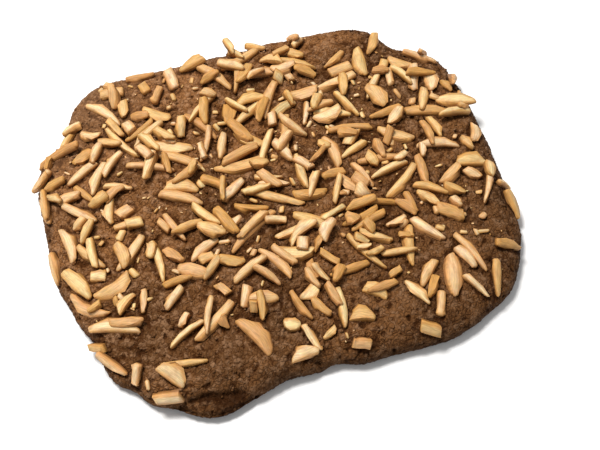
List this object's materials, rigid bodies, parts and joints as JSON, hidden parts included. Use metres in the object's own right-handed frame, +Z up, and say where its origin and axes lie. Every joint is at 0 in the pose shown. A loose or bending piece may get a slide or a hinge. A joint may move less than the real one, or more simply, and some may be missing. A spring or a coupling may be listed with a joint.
{
  "type": "speculaas cookie",
  "caption": "Large rounded-square slab of brown spiced biscuit with a flat underside, a soft swelling rim and a craggy crust thickly strewn with baked-in almond slivers.",
  "frame": {"origin": "under the middle of the slab, on the flat underside that it rests on", "axes": "+Z up, through the thickness; +X along the slab's long side; -Y towards the side with the fold and the ledge, the front"},
  "size_m": [0.1887, 0.1591, 0.019],
  "materials": {
    "speculaas_cookie": null
  },
  "bodies": {
    "root": {"speculaas_cookie": "speculaas_cookie"}
  },
  "joints": []
}
